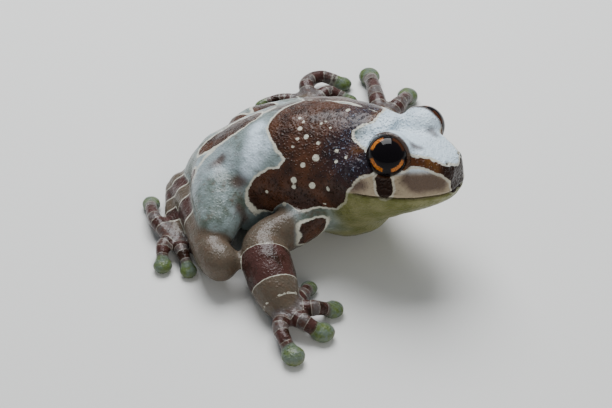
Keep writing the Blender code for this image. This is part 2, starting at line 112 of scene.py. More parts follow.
# Head stations, from the middle of the eyes: forward place, then half a section as (side, height) points
# from the crown over the canthus, the lip and the jaw to the throat.
HEAD = [
    (-8.0, [(0, -0.6), (4.4, -1.2), (6.8, -4.0), (7.2, -7.0), (6.2, -10.6), (3.6, -13.6), (0, -14.6)]),
    (-5.0, [(0, 0.0), (4.4, -0.1), (7.1, -2.8), (7.8, -5.3), (7.1, -8.2), (4.4, -11.6), (0, -12.8)]),
    (-2.0, [(0, 0.4), (4.0, 0.5), (6.6, -2.0), (7.7, -5.0), (6.9, -7.4), (4.2, -10.0), (0, -11.0)]),
    (1.0, [(0, 0.4), (3.3, 0.5), (5.2, -1.6), (6.8, -4.9), (6.1, -6.9), (3.5, -8.7), (0, -9.4)]),
    (3.4, [(0, -0.1), (2.9, 0.0), (4.1, -1.7), (5.7, -4.8), (5.1, -6.5), (2.8, -7.8), (0, -8.3)]),
    (5.0, [(0, -0.7), (2.5, -0.7), (3.3, -2.0), (4.4, -4.8), (3.8, -6.2), (2.1, -7.1), (0, -7.4)]),
    (6.2, [(0, -1.2), (1.9, -1.3), (2.5, -2.2), (3.1, -4.7), (2.6, -5.8), (1.5, -6.4), (0, -6.6)]),
    (6.9, [(0, -2.0), (1.1, -2.1), (1.6, -2.8), (1.8, -4.4), (1.5, -5.3), (0.8, -5.8), (0, -5.9)]),
]

# Limb joints (forward, left, up) and radii. Each side is posed on its own, as the frog sits.
ARMS = {
    "right": [
        ((-1.6, -5.6, 6.6), 2.9),
        ((-2.4, -9.2, 6.0), 2.7),
        ((-4.6, -13.5, 4.9), 2.7),
        ((-2.6, -16.2, 4.1), 3.2),
        ((0.3, -18.7, 2.9), 2.9),
        ((2.2, -20.0, 2.0), 2.1),
    ],
    "left": [
        ((-1.8, 5.6, 6.6), 2.9),
        ((-2.4, 9.2, 5.4), 2.6),
        ((-3.6, 12.4, 4.6), 2.5),
        ((-5.0, 15.6, 3.8), 2.9),
        ((-6.2, 18.8, 2.7), 2.5),
        ((-7.0, 20.8, 1.9), 1.9),
    ],
}
LEGS = {
    "right": {
        "thigh": [((-17.0, -4.0, 6.2), 4.4), ((-13.6, -9.8, 6.3), 4.1), ((-11.2, -14.5, 5.6), 2.9)],
        "shank": [((-8.0, -18.8, 3.8), 2.5), ((-10.4, -17.3, 3.8), 2.4), ((-16.6, -11.9, 3.7), 2.0),
                  ((-22.0, -7.1, 2.7), 1.6)],
        "foot": [((-22.4, -7.6, 1.95), 1.55), ((-20.2, -11.4, 1.6), 1.25), ((-17.4, -15.0, 1.4), 1.35)],
    },
    "left": {
        "thigh": [((-17.0, 3.6, 5.4), 4.4), ((-13.6, 9.4, 5.2), 4.0), ((-11.2, 12.8, 4.9), 2.9)],
        "shank": [((-10.6, 16.4, 4.1), 2.4), ((-12.8, 15.6, 4.0), 2.3), ((-17.8, 12.8, 3.3), 2.0),
                  ((-22.4, 10.2, 2.5), 1.6)],
        "foot": [((-22.8, 10.9, 1.9), 1.5), ((-20.9, 15.0, 1.6), 1.25), ((-18.6, 18.9, 1.4), 1.35)],
    },
}

# Digit paths from the palm or sole to the middle of the disc, with the radii of digit and disc.
DIGITS = {
    "hand_right": [
        ([(2.8, -18.4, 1.8), (2.9, -16.8, 1.9), (2.5, -15.2, 1.5), (2.1, -13.9, 0.9)], 0.85, 1.15),
        ([(3.6, -19.4, 1.9), (5.2, -18.2, 2.1), (6.2, -17.0, 1.6), (6.8, -15.8, 0.9)], 0.95, 1.35),
        ([(3.9, -20.6, 1.9), (5.6, -20.9, 2.1), (7.0, -20.7, 1.6), (8.0, -20.2, 0.9)], 1.00, 1.50),
        ([(3.0, -21.5, 1.8), (3.9, -23.4, 2.1), (5.6, -24.9, 1.8), (7.2, -25.7, 0.95)], 0.95, 1.50),
    ],
    "hand_left": [
        ([(-6.0, 20.4, 1.8), (-4.2, 20.2, 1.9), (-2.6, 19.8, 1.5), (-1.4, 19.2, 0.9)], 0.80, 1.10),
        ([(-6.2, 21.6, 1.8), (-4.4, 22.2, 2.1), (-2.7, 22.6, 1.6), (-1.3, 22.6, 0.9)], 0.90, 1.25),
        ([(-7.3, 22.4, 1.8), (-7.2, 24.6, 2.1), (-7.4, 26.8, 1.7), (-7.9, 28.6, 0.9)], 1.05, 1.50),
        ([(-8.5, 22.0, 1.8), (-10.6, 24.4, 2.2), (-12.9, 27.3, 1.9), (-14.9, 29.8, 0.95)], 1.10, 1.55),
    ],
    "foot_right": [
        ([(-16.2, -14.4, 1.2), (-14.9, -14.1, 1.1), (-13.6, -14.0, 0.9), (-12.6, -14.2, 0.7)], 0.62, 0.80),
        ([(-15.9, -15.3, 1.3), (-14.3, -15.7, 1.2), (-12.7, -16.3, 0.9), (-11.3, -16.9, 0.7)], 0.64, 0.88),
        ([(-16.2, -16.2, 1.4), (-14.9, -17.4, 1.7), (-13.6, -18.4, 1.4), (-12.5, -19.3, 0.8)], 0.84, 1.15),
        ([(-17.3, -16.3, 1.5), (-17.2, -18.0, 1.8), (-16.6, -19.2, 1.5), (-15.8, -20.3, 0.8)], 0.90, 1.25),
        ([(-18.2, -15.6, 1.5), (-20.8, -14.5, 1.8), (-22.9, -12.7, 1.6), (-24.2, -10.9, 0.85)], 0.88, 1.25),
    ],
    "foot_left": [
        ([(-17.4, 18.3, 1.3), (-15.9, 18.3, 1.2), (-14.4, 18.3, 0.9), (-13.2, 18.1, 0.7)], 0.66, 0.85),
        ([(-17.1, 19.3, 1.4), (-15.6, 20.0, 1.5), (-14.2, 20.6, 1.2), (-12.9, 20.9, 0.8)], 0.76, 1.00),
        ([(-17.7, 20.1, 1.4), (-17.3, 22.1, 1.8), (-16.0, 22.8, 1.5), (-14.4, 23.2, 0.8)], 0.95, 1.25),
        ([(-18.9, 20.1, 1.5), (-20.7, 22.2, 1.9), (-20.1, 25.0, 1.8), (-17.3, 26.3, 0.85)], 1.00, 1.30),
        ([(-20.2, 18.9, 1.3), (-21.9, 18.2, 1.3), (-23.4, 17.1, 1.1), (-24.2, 15.8, 0.8)], 0.72, 0.95),
    ],
}
PALMS = {
    "hand_right": ((2.4, -20.1, 1.8), 1.95),
    "hand_left": ((-7.0, 20.9, 1.75), 1.8),
    "foot_right": ((-17.3, -15.1, 1.35), 1.35),
    "foot_left": ((-18.5, 19.1, 1.35), 1.35),
}
WEB_RADIUS = 0.5
PALM_STRETCH = 1.3       # radius of the rays from palm to digits, against the digit's own
DISC_THICKNESS = 0.72    # against a disc's radius

# Relief along the skin: swellings (height, distance, width), where the distance is from the mouth line, the
# middle of the nostril, the middle of the eardrum, the fold over it, and the eyeball.
LIP_RELIEF = [(-0.34, 0.0, 0.13), (0.12, 0.42, 0.28), (0.07, -0.38, 0.26)]
NOSTRIL_RELIEF = [(-0.36, 0.0, 0.26), (0.10, 0.48, 0.18)]
EARDRUM_RELIEF = [(-0.13, 1.35, 0.2)]
FOLD_RELIEF = [(0.22, 0.0, 0.45)]
LID_RELIEF = [(0.16, 0.12, 0.2)]
LIP_REACH = 2.0          # the lips end this far above and below the mouth line
EARDRUM_BACK = -7.0      # no relief round the eardrum behind this
EARDRUM_FOLD = [(-2.5, 6.6, -1.2, 0.1), (-4.4, 6.7, -1.0, 0.1), (-6.2, 7.2, -2.8, 0.1),
                (-7.0, 7.4, -5.0, 0.1)]
SKIN_LUMPS = [(0.05, 0.9), (0.03, 2.1)]     # height, and lumps to the millimetre

FLESH = [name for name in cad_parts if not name.startswith("eye_")]
TRUNK_AXIS = 8.0         # height of the line that the marks on the trunk are wrapped round
TRUNK_ROUND = 9.0        # turns the angle round that line into millimetres

# The saddle's outline (forward, left, up) on the frog's right, from behind the shoulders down the flank,
# under the temple to the eye and back over the neck. It is mirrored to the left.
SADDLE = [
    (-8.3, 1.5, 16.6), (-9.9, -0.8, 15.9), (-10.3, -2.5, 15.6), (-10.0, -4.6, 15.1), (-8.5, -6.1, 14.8),
    (-7.2, -6.9, 14.2), (-5.6, -7.3, 13.8), (-6.1, -8.2, 12.6), (-7.4, -8.7, 12.0), (-8.8, -9.4, 10.6),
    (-9.4, -10.1, 9.0), (-9.2, -10.3, 7.3), (-8.0, -10.3, 6.2), (-5.8, -10.3, 6.0), (-3.6, -11.1, 7.9),
    (-1.9, -9.8, 8.5), (0.3, -8.2, 9.2), (2.4, -8.1, 9.8), (3.5, -8.1, 11.6), (3.8, -7.9, 13.2),
    (4.3, -7.3, 14.4), (5.2, -6.7, 15.2), (6.4, -6.3, 15.9), (6.8, -5.4, 18.4), (4.4, -5.4, 18.2),
    (2.7, -3.8, 17.3), (1.4, -3.1, 17.3), (1.0, -2.3, 17.7), (1.5, -1.4, 18.1), (2.6, 0.0, 18.5),
    (2.3, 1.9, 18.4),
]
# Other marks are strokes: points (forward, left, up), each with the stroke's half width there.
TRUNK_DARK = [
    [(-13.9, -2.0, 13.4, 1.2), (-15.6, -3.5, 12.1, 1.8), (-17.1, -4.9, 10.6, 1.7), (-18.2, -6.6, 8.9, 1.0)],
    [(-17.9, -9.9, 7.6, 0.8), (-18.6, -10.6, 5.6, 1.0), (-18.6, -12.0, 4.2, 0.7)],
    [(-17.4, -0.6, 11.2, 1.0), (-19.6, -1.6, 8.6, 1.3), (-21.4, -2.4, 5.8, 1.0)],
]
SHOULDER_DARK = [
    [(-0.9, -10.7, 6.9, 0.8), (0.9, -9.0, 7.0, 1.1)],
    [(-1.0, -11.0, 5.5, 0.8), (0.6, -9.5, 5.6, 1.2)],
]
FLANK_LINE = [(-12.0, -0.2, 14.8, 0.2), (-13.2, -1.4, 14.1, 0.2), (-14.3, -3.4, 13.2, 0.22),
              (-15.4, -5.2, 12.2, 0.22), (-16.8, -6.8, 10.7, 0.2), (-17.3, -8.7, 9.5, 0.16),
              (-16.9, -11.3, 7.8, 0.12)]
# A painted highlight: a pale blue patch on the front of the flank, as strokes.
FLANK_HIGHLIGHT = [(-11.6, -4.6, 14.6, 1.2), (-10.0, -6.9, 13.6, 1.7), (-10.0, -8.8, 11.6, 1.1)]
TRUNK_SOFT = [
    [(-8.5, 0.5, 16.5, 0.9), (-10.9, -0.3, 15.6, 0.9), (-12.6, -0.6, 14.6, 0.5)],
    [(-10.6, -9.6, 10.0, 0.9), (-12.6, -11.0, 8.0, 1.2)],
    [(-14.6, -8.6, 10.8, 0.8), (-15.6, -10.6, 8.2, 0.9)],
    [(-9.6, -12.4, 7.4, 0.8), (-9.4, -12.0, 5.6, 0.9)],
]
HEAD_DARK = [
    [(1.9, -5.2, -0.7, 1.0), (2.6, -4.6, -0.6, 0.82), (3.4, -3.9, -0.75, 0.70), (4.7, -3.2, -1.2, 0.58),
     (5.8, -2.6, -1.75, 0.54), (6.5, -2.0, -2.4, 0.6)],
    [(6.7, -1.4, -2.5, 0.75), (7.0, -0.6, -3.3, 1.2), (6.9, -0.7, -4.3, 1.1)],
    [(-0.5, -5.7, -2.3, 1.0), (0.0, -6.5, -3.3, 0.95), (0.4, -6.8, -4.2, 0.95)],
]
HEAD_SOFT = [
    [(2.7, -5.3, -2.8, 0.9), (3.5, -4.9, -3.2, 1.3), (5.0, -3.8, -3.3, 1.3), (6.0, -2.8, -3.5, 1.0)],
    [(-2.6, -7.3, -3.8, 0.8), (-3.6, -7.6, -4.4, 0.6)],
    [(1.8, -2.6, 0.4, 0.7), (2.6, -2.2, 0.1, 0.5)],
]
DOTS = [
    (-6.6, -2.6, 16.8, 0.24), (-4.3, -4.7, 16.1, 0.35), (-5.3, -5.2, 15.7, 0.24), (-5.4, -6.1, 15.0, 0.20),
    (-1.9, -6.3, 14.8, 0.46), (-3.2, -7.2, 13.7, 0.35), (-3.8, -8.3, 11.8, 0.41), (-3.6, -8.6, 11.0, 0.30),
    (-1.3, -8.0, 11.8, 0.43), (0.9, -7.8, 12.1, 0.35), (-7.0, -9.6, 9.4, 0.22), (-4.5, -9.3, 8.3, 0.32),
    (0.6, -8.0, 9.7, 0.22), (0.3, -4.9, 15.9, 0.27), (0.8, -5.9, 15.1, 0.27), (2.0, -5.5, 16.0, 0.22),
    (-1.4, 0.5, 18.2, 0.32), (-2.4, -4.9, 16.0, 0.27), (-3.4, -2.7, 17.3, 0.24), (-5.7, -4.0, 16.4, 0.32),
    (-5.8, -3.0, 16.8, 0.22), (-3.0, -2.2, 17.5, 0.20), (-1.9, -2.9, 17.3, 0.20), (-2.3, -17.6, 7.0, 0.26),
]
LEFT_DOTS_SHIFT = np.array([0.6, 0.5, -0.4])
TEMPLE = [(-2.6, -6.4, -1.2, 1.2), (-4.6, -7.2, -3.4, 1.6), (-5.4, -7.5, -6.0, 1.4)]
LID_RIM_INWARD = 0.45    # from the middle of the eye to the plane of its dark rim
BELLY_BACK = -16.0       # the pale underside ends here
MARK_BLEND = 0.35        # how softly strokes of one mark join
MARKS_OFF = 6.0          # keeps the trunk's marks off the limbs and off the fold of the flank
FLANK_BULGE = (10.9, 11.6)    # the fold starts this far from the trunk's axis
FLANK_MIDDLE = -10.0
FLANK_REACH = 5.0
ARM_START = (0.95, 1.3)  # the arm's own colours start here, in joints from the shoulder
BAND_EDGE = 0.06         # half the softness of a band's edge, in joints
# Bands round a limb, as how far along its joints each starts and ends, and how dark it is.
BANDS = {
    "arm": [(2.72, 3.86, 1.0), (4.05, 4.72, 0.62)],
    "shank": [(1.65, 2.1, 0.8), (2.5, 2.85, 0.8)],
    "foot": [(0.3, 0.75, 0.8), (1.2, 1.7, 0.7)],
    "digit": [(0.5, 0.95, 0.8), (1.4, 2.05, 0.9), (2.45, 2.7, 0.5)],
}

# The stage, in metres. Each softbox has a place, a size and a tint.
KEY_LIGHT = ((-0.10, 0.12, 0.26), (0.22, 0.22), (0.97, 0.98, 1.0))
FILL_LIGHT = ((0.22, -0.20, 0.14), (0.15, 0.15), (1.0, 0.96, 0.90))
LIGHTS_AIM = (0.0, 0.0, 0.008)
SKY_TINT = (0.86, 0.93, 1.0)
FLOOR_HALF = 1.5
FLOOR_DROP = 0.00002     # keeps the floor from touching the soles


def head_matrix():
    """Places the head's own frame, whose origin is midway between the eyes."""
    turn = HEAD_TURN.to_matrix().to_4x4()
    return Matrix.Translation(NECK) @ turn @ Matrix.Translation(EYES_FROM_NECK)


def body_matrix():
    """Leans the torso a little to the frog's left, about a line along its middle."""
    pivot = Matrix.Translation((0.0, 0.0, BODY_ROLL_HEIGHT))
    return pivot @ Matrix.Rotation(BODY_ROLL, 4, "X") @ pivot.inverted()


def smooth_path(points, steps):
    """Catmull-Rom curve through the points, with an equal number of steps in each span."""
    p = np.array(points, float)
    p = np.vstack([2 * p[0] - p[1], p, 2 * p[-1] - p[-2]])
    made = []
    for i in range(1, len(p) - 2):
        for t in np.linspace(0, 1, steps, endpoint=False):
            a, b, c, d = p[i - 1: i + 3]
            made.append(0.5 * (2 * b + (c - a) * t + (2 * a - 5 * b + 4 * c - d) * t * t
                               + (3 * b - a - 3 * c + d) * t ** 3))
    made.append(p[-2])
    return np.array(made)


def add_object(name, data):
    """A new object in the scene."""
    obj = bpy.data.objects.new(name, data)
    bpy.context.scene.collection.objects.link(obj)
    return obj


def finish_mesh(name, mesh):
    """Writes a bmesh to a new object in the scene."""
    data = bpy.data.meshes.new(name)
    mesh.to_mesh(data)
    mesh.free()
    return add_object(name, data)


def bridge_rings(name, rings, closed=False):
    """One closed mesh object through rings of points; its ends are capped, or joined to each other."""
    mesh = bmesh.new()
    loops = []
    for ring in rings:
        circle = bmesh.ops.create_circle(mesh, segments=len(ring), radius=1.0)["verts"]
        for vert, place in zip(circle, ring):
            vert.co = place
        loops.append(list({e for v in circle for e in v.link_edges}))
    pairs = list(zip(loops, loops[1:])) + ([(loops[-1], loops[0])] if closed else [])
    for first, second in pairs:
        bmesh.ops.bridge_loops(mesh, edges=first + second)
    bmesh.ops.holes_fill(mesh, edges=[e for e in mesh.edges if e.is_boundary], sides=0)
    bmesh.ops.recalc_face_normals(mesh, faces=mesh.faces)
    return finish_mesh(name, mesh)


def section(half):
    """A closed ring of RING points from half a section, as (side, height) points from top to bottom."""
    left = smooth_path(half, 12)
    right = left[-2:0:-1] * [-1, 1]
    loop = np.vstack([left, right])
    closed = np.vstack([loop, loop[:1]])
    along = np.concatenate([[0], np.cumsum(np.linalg.norm(np.diff(closed, axis=0), axis=1))])
    wanted = np.linspace(0, along[-1], RING, endpoint=False)
    return np.column_stack([np.interp(wanted, along, closed[:, i]) for i in (0, 1)])


def ball(name, centre, radius, place=None, shape=(1, 1, 1)):
    """A closed sphere, or an egg shape, in the frame that place gives."""
    mesh = bmesh.new()
    bmesh.ops.create_uvsphere(mesh, u_segments=32, v_segments=24, radius=radius)
    where = (place or Matrix()) @ Matrix.Translation(centre) @ Matrix.Diagonal((*shape, 1))
    bmesh.ops.transform(mesh, matrix=where, verts=mesh.verts)
    return finish_mesh(name, mesh)


def eye_middle(side):
    """The middle of one eye, in the head frame."""
    return Vector((0, side * EYE_SIDE, 0)) + EYE_SET_BACK


def eyelids(side):
    """The soft rim of skin round one eye, thicker above than below."""
    outward = Vector((0.06, side, 0.10)).normalized()
    across = outward.cross(Vector((1, 0, 0))).normalized()
    forward = across.cross(outward)
    place = head_matrix()
    joints = []
    for angle in np.linspace(0, 2 * math.pi * 0.97, 15):
        rim = (forward * math.cos(angle) + across * math.sin(angle)) * 0.99 + outward * LID_INWARD
        at = eye_middle(side) + rim * LID_REACH
        joints.append((place @ at, LID_RADIUS * (1.15 if at.z > 0 else 0.9)))
    return limb("eyelids", joints)


def make_head():
    """The head and throat, lofted from its stations, with the mounds that hold the eyes and the eardrums."""
    stations = smooth_path([[x, *np.ravel(half)] for x, half in HEAD], 5)
    place = head_matrix()
    rings = []
    for row in stations:
        ring = section(row[1:].reshape(-1, 2))
        rings.append([place @ Vector((row[0], y, z)) for y, z in ring])
    pieces = [bridge_rings("head_loft", rings)]
    for side in (-1, 1):
        mound = (EYE_MOUND_BACK, side * (EYE_SIDE - EYE_MOUND_INWARD), EYE_MOUND_DOWN)
        pieces.append(ball("eye_mound", mound, EYE_MOUND, place))
        pieces.append(eyelids(side))
        drum = Vector((EARDRUM.x, side * EARDRUM.y, EARDRUM.z))
        pieces.append(ball("eardrum", drum, EARDRUM_RADIUS, place, (1, 0.5, 1)))
    return pieces


def make_torso():
    """The plump trunk, lofted from its stations and leaned a little to the left."""
    lean = body_matrix()
    rings = []
    for x, side, low, high, wide in smooth_path(TORSO, 5):
        middle, tall = (low + high) / 2, (high - low) / 2
        ring = []
        for i in range(RING):
            angle = 2 * math.pi * i / RING
            y = side + wide * math.cos(angle) * (1 - 0.10 * math.sin(angle))
            ring.append(lean @ Vector((x, y, middle + tall * math.sin(angle))))
        rings.append(ring)
    folds = [limb("flank_fold", FLANK_FOLDS[side]) for side in FLANK_FOLDS]
    return [bridge_rings("torso_loft", rings)] + folds


def limb(name, joints):
    """A round limb through joints of (place, radius), with rounded ends."""
    rows = smooth_path([[*place, radius] for place, radius in joints], 6)
    tangents = np.gradient(rows[:, :3], axis=0)
    cap = [math.sin(math.radians(a)) for a in (-80, -60, -35)]
    stations = [(rows[0], tangents[0], c) for c in cap]
    stations += [(row, tangent, 0) for row, tangent in zip(rows, tangents)]
    stations += [(rows[-1], tangents[-1], -c) for c in reversed(cap)]
    rings = []
    for row, tangent, c in stations:
        forward = Vector(tangent).normalized()
        across = forward.cross(Vector((0, 0, 1))).normalized()
        up = across.cross(forward)
        middle = Vector(row[:3]) + forward * (row[3] * c)
        wide = row[3] * math.sqrt(1 - c * c)
        rings.append([middle + across * (wide * math.cos(t)) + up * (wide * math.sin(t))
                      for t in np.linspace(0, 2 * math.pi, 20, endpoint=False)])
    return bridge_rings(name, rings)


def make_digits(foot):
    """The palm or sole of one hand or foot with its digits, discs and basal webs."""
    centre, size = PALMS[foot]
    pieces = []
    for path, radius, disc in DIGITS[foot]:
        widths = [radius * 1.15, radius * 1.1, radius * 0.9, radius * 0.95]
        pieces.append(limb("digit", list(zip(path, widths))))
        pieces.append(disc_pad(path[-2], path[-1], disc))
        pieces.append(limb("ray", [(centre, size), (path[0], radius * PALM_STRETCH)]))
    for (first, *_), (second, *_) in zip(DIGITS[foot], DIGITS[foot][1:]):
        for step in (0.25, 0.55, 0.8):
            start = Vector(first[0]).lerp(Vector(first[1]), step)
            end = Vector(second[0]).lerp(Vector(second[1]), step)
            middle = start.lerp(end, 0.5).lerp(Vector(centre), 0.22)
            pieces.append(limb("web", [(start, WEB_RADIUS), (middle, WEB_RADIUS), (end, WEB_RADIUS)]))
    return pieces


def disc_pad(before, tip, radius):
    """The flattened round disc at the end of a digit, its sole just inside the floor."""
    forward = Vector(tip) - Vector(before)
    turn = Matrix.Rotation(math.atan2(forward.y, forward.x), 4, "Z")
    place = Matrix.Translation((tip[0], tip[1], radius * DISC_THICKNESS - FLAT_DEPTH)) @ turn
    return ball("disc", (0, 0, 0), radius, place, (1.06, 1.0, DISC_THICKNESS))


def join(name, pieces):
    """Joins several objects into one."""
    with bpy.context.temp_override(active_object=pieces[0], selected_editable_objects=pieces):
        bpy.ops.object.join()
    pieces[0].name = name
    return pieces[0]


def apply_modifiers(obj):
    """Turns what an object's modifiers make into its own mesh."""
    graph = bpy.context.evaluated_depsgraph_get()
    made = bpy.data.meshes.new_from_object(obj.evaluated_get(graph))
    obj.modifiers.clear()
    obj.data = made
    return obj


def fuse(obj, grain, smooth_steps):
    """Grows overlapping pieces into one skin, then softens it."""
    remesh = obj.modifiers.new("fuse", "REMESH")
    remesh.mode = "VOXEL"
    remesh.voxel_size = grain
    soften = obj.modifiers.new("soften", "SMOOTH")
    soften.factor = 0.5
    soften.iterations = smooth_steps
    return apply_modifiers(obj)


def subtract(obj, cutter):
    """Cuts one closed object out of another and removes it."""
    cut = obj.modifiers.new("cut", "BOOLEAN")
    cut.operation = "DIFFERENCE"
    cut.solver = "MANIFOLD"
    cut.object = cutter
    apply_modifiers(obj)
    bpy.data.objects.remove(cutter)
    return obj


def frame_matrix():
    """Carries millimetres in the frog's posture to metres where the CAD model stands, by its right eye."""
    low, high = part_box("eye_right")
    eye = head_matrix() @ Vector((0, -EYE_SIDE, 0))
    return Matrix.Translation((low + high) / 2 - eye * MM) @ Matrix.Scale(MM, 4)


def points_of(obj, what="co"):
    """An object's vertex places, or their normals, as an array."""
    values = np.empty(len(obj.data.vertices) * 3)
    obj.data.vertices.foreach_get(what, values)
    return values.reshape(-1, 3)


def move_points(obj, places):
    """Sets an object's vertex places."""
    obj.data.vertices.foreach_set("co", places.ravel())
    obj.data.update()


def seen_from(matrix, places):
    """Places seen from a matrix's own frame."""
    back = np.array(matrix.inverted())
    return places @ back[:3, :3].T + back[:3, 3]


def mirrored_in(matrix, places):
    """Places mirrored from left to right in a matrix's own frame."""
    inside = seen_from(matrix, places) * [1, -1, 1]
    out = np.array(matrix)
    return inside @ out[:3, :3].T + out[:3, 3]


def rise(values, low, high):
    """A smooth step from 0 at low to 1 at high."""
    t = np.clip((values - low) / (high - low), 0, 1)
    return t * t * (3 - 2 * t)


def bell(values, width):
    """A smooth bump, 1 at zero and fading over the width."""
    return np.exp(-(values / width) ** 2)


def relief(distance, swellings):
    """How far the skin rises at this distance from a feature."""
    return sum(height * bell(distance - at, width) for height, at, width in swellings)


def cone_distance(places, start, end):
    """Signed distance to a cone between balls (forward, left, up, radius), and the share of its length."""
    along = end[:3] - start[:3]
    share = np.clip((places - start[:3]) @ along / (along @ along), 0, 1)
    away = np.linalg.norm(places - start[:3] - share[:, None] * along, axis=1)
    return away - (start[3] + share * (end[3] - start[3])), share


def stroke_distance(places, stroke):
    """Signed distance to a stroke of balls joined by cones, negative inside."""
    balls = np.array(stroke, float)
    return np.min([cone_distance(places, a, b)[0] for a, b in zip(balls, balls[1:])], axis=0)


def marks_distance(places, strokes):
    """Signed distance to several strokes, softly joined where they meet."""
    near = np.array([stroke_distance(places, stroke) for stroke in strokes])
    low = near.min(axis=0)
    return np.clip(low - MARK_BLEND * np.log(np.exp(-(near - low) / MARK_BLEND).sum(axis=0)), -FAR, FAR)


def subdivide_head(obj):
    """Halves the faces of the head, so that lids, lips and nostrils are crisp."""
    back = head_matrix().inverted()
    mesh = bmesh.new()
    mesh.from_mesh(obj.data)
    edges = [e for e in mesh.edges if (back @ e.verts[0].co).x > HEAD_BACK]
    bmesh.ops.subdivide_edges(mesh, edges=edges, cuts=1, use_grid_fill=True)
    fine = [v for v in mesh.verts if (back @ v.co).x > HEAD_BACK]
    bmesh.ops.smooth_vert(mesh, verts=fine, factor=0.5, use_axis_x=True, use_axis_y=True, use_axis_z=True)
    mesh.to_mesh(obj.data)
    mesh.free()


def sculpt_head(obj):
    """Mouth line, lips, nostrils, eardrums, the fold over them and the lids."""
    places, normals = points_of(obj), points_of(obj, "normal")
    x, y, z = seen_from(head_matrix(), places).T
    side = np.abs(y)
    above = z - MOUTH_HEIGHT
    lips = rise(x, MOUTH_CORNER - 0.6, MOUTH_CORNER + 0.6) * (np.abs(above) < LIP_REACH)
    push = relief(above, LIP_RELIEF) * lips
    mirrored = np.column_stack([x, side, z])
    push += relief(np.linalg.norm(mirrored - NOSTRIL, axis=1), NOSTRIL_RELIEF)
    drum = np.linalg.norm((mirrored - EARDRUM) * [1, 0.5, 1], axis=1)
    push += relief(drum, EARDRUM_RELIEF) * (x > EARDRUM_BACK)
    push += relief(np.maximum(stroke_distance(mirrored, EARDRUM_FOLD), 0), FOLD_RELIEF)
    lid = np.linalg.norm(mirrored - eye_middle(1), axis=1) - EYE_RADIUS
    push += relief(lid, LID_RELIEF) * (lid > -0.2)
    move_points(obj, places + normals * push[:, None])


def roughen(obj):
    """Low lumps and wrinkles of loose skin over the whole body."""
    places, normals = points_of(obj), points_of(obj, "normal")
    push = np.empty(len(places))
    for i, place in enumerate(places):
        push[i] = sum(height * noise.noise(Vector(place) * scale) for height, scale in SKIN_LUMPS)
    move_points(obj, places + normals * push[:, None] * rise(places[:, 2], 0.2, 1.2)[:, None])


def sit_flat(obj):
    """Presses everything that would reach below the floor flat against it."""
    places = points_of(obj)
    places[:, 2] = np.maximum(places[:, 2], 0.0)
    move_points(obj, places)


def make_skin_form(settings):
    """The whole flesh as one fused and sculpted skin, in millimetres."""
    core = join("core", make_head() + make_torso() + [limb("arm", joints) for joints in ARMS.values()]
                + [limb(part, parts[part]) for parts in LEGS.values() for part in ("thigh", "shank", "foot")])
    core = fuse(core, settings.grain, 8)
    digits = [piece for foot in DIGITS for piece in make_digits(foot)]
    skin = fuse(join("skin", [core] + digits), settings.grain, 2)
    subdivide_head(skin)
    for side in (-1, 1):
        subtract(skin, ball("cutter", eye_middle(side), EYE_RADIUS + EYE_CLEARANCE, head_matrix()))
    sculpt_head(skin)
    roughen(skin)
    sit_flat(skin)
    return skin


def outline_distance(places, outline):
    """Signed distance to a closed outline on a plane, negative inside."""
    nearest, inside = np.full(len(places), 1e3), np.zeros(len(places), bool)
    for a, b in zip(outline, np.roll(outline, -1, axis=0)):
        along = b - a
        t = np.clip((places - a) @ along / (along @ along), 0, 1)
        nearest = np.minimum(nearest, np.linalg.norm(places - a - t[:, None] * along, axis=1))
        crosses = (a[1] > places[:, 1]) != (b[1] > places[:, 1])
        reach = a[0] + (places[:, 1] - a[1]) * along[0] / (along[1] if along[1] else 1e-9)
        inside ^= crosses & (places[:, 0] < reach)
    return np.where(inside, -nearest, nearest)


def wrapped(places):
    """Unrolls places round the trunk: how far forward, and how far down from the midline of the back."""
    inside = seen_from(body_matrix(), places)
    angle = np.arctan2(-inside[:, 1], inside[:, 2] - TRUNK_AXIS)
    return np.column_stack([inside[:, 0], angle * TRUNK_ROUND])


def saddle_distance(places):
    """Signed distance to the saddle, which meets itself across the back."""
    outline, flat = wrapped(np.array(SADDLE)), wrapped(places)
    flat[:, 1] = np.abs(flat[:, 1])
    other = flat + np.column_stack([0.7 * np.sin(flat[:, 1] * 0.7), 0.5 * np.sin(flat[:, 0] * 0.6)])
    left = (seen_from(body_matrix(), places)[:, 1] > 0)[:, None]
    return outline_distance(np.where(left, other, flat), outline)


def chain_fields(places, chains):
    """Distance to the nearest limb's surface, and how far along its joints it lies."""
    best, along = np.full(len(places), FAR), np.zeros(len(places))
    for joints in chains:
        balls = np.array([[*place, radius] for place, radius in joints])
        for i, (a, b) in enumerate(zip(balls, balls[1:])):
            away, share = cone_distance(places, a, b)
            closer = away < best
            best = np.where(closer, away, best)
            along = np.where(closer, i + share, along)
    return best, along


def band_strength(along, kind):
    """How dark the bands are this far along a limb."""
    dark = np.zeros(len(along))
    for start, end, strength in BANDS[kind]:
        starts = rise(along, start - BAND_EDGE, start + BAND_EDGE)
        ends = rise(along, end - BAND_EDGE, end + BAND_EDGE)
        dark = np.maximum(dark, strength * starts * (1 - ends))
    return dark


def limb_fields(places):
    """How far each point belongs to a limb, to a digit and to a disc, and how dark its bands are there."""
    shanks = [parts["shank"] for parts in LEGS.values()]
    feet = [parts["foot"] for parts in LEGS.values()]
    digits = [[(at, radius) for at in path] for foot in DIGITS.values() for path, radius, _ in foot]
    groups = {"arm": list(ARMS.values()), "shank": shanks, "foot": feet, "digit": digits}
    on_limb, bands = np.zeros(len(places)), np.zeros(len(places))
    for kind, chains in groups.items():
        away, along = chain_fields(places, chains)
        on = 1 - rise(away, 0.2, 0.8)
        if kind == "arm":
            on = on * rise(along, *ARM_START)
        on_limb = np.maximum(on_limb, on)
        bands = bands * (1 - on) + band_strength(along, kind) * on
    disc = np.full(len(places), FAR)
    for foot in DIGITS.values():
        for path, _, pad in foot:
            disc = np.minimum(disc, np.linalg.norm(places - path[-1], axis=1) - pad)
    return on_limb, on, disc, bands


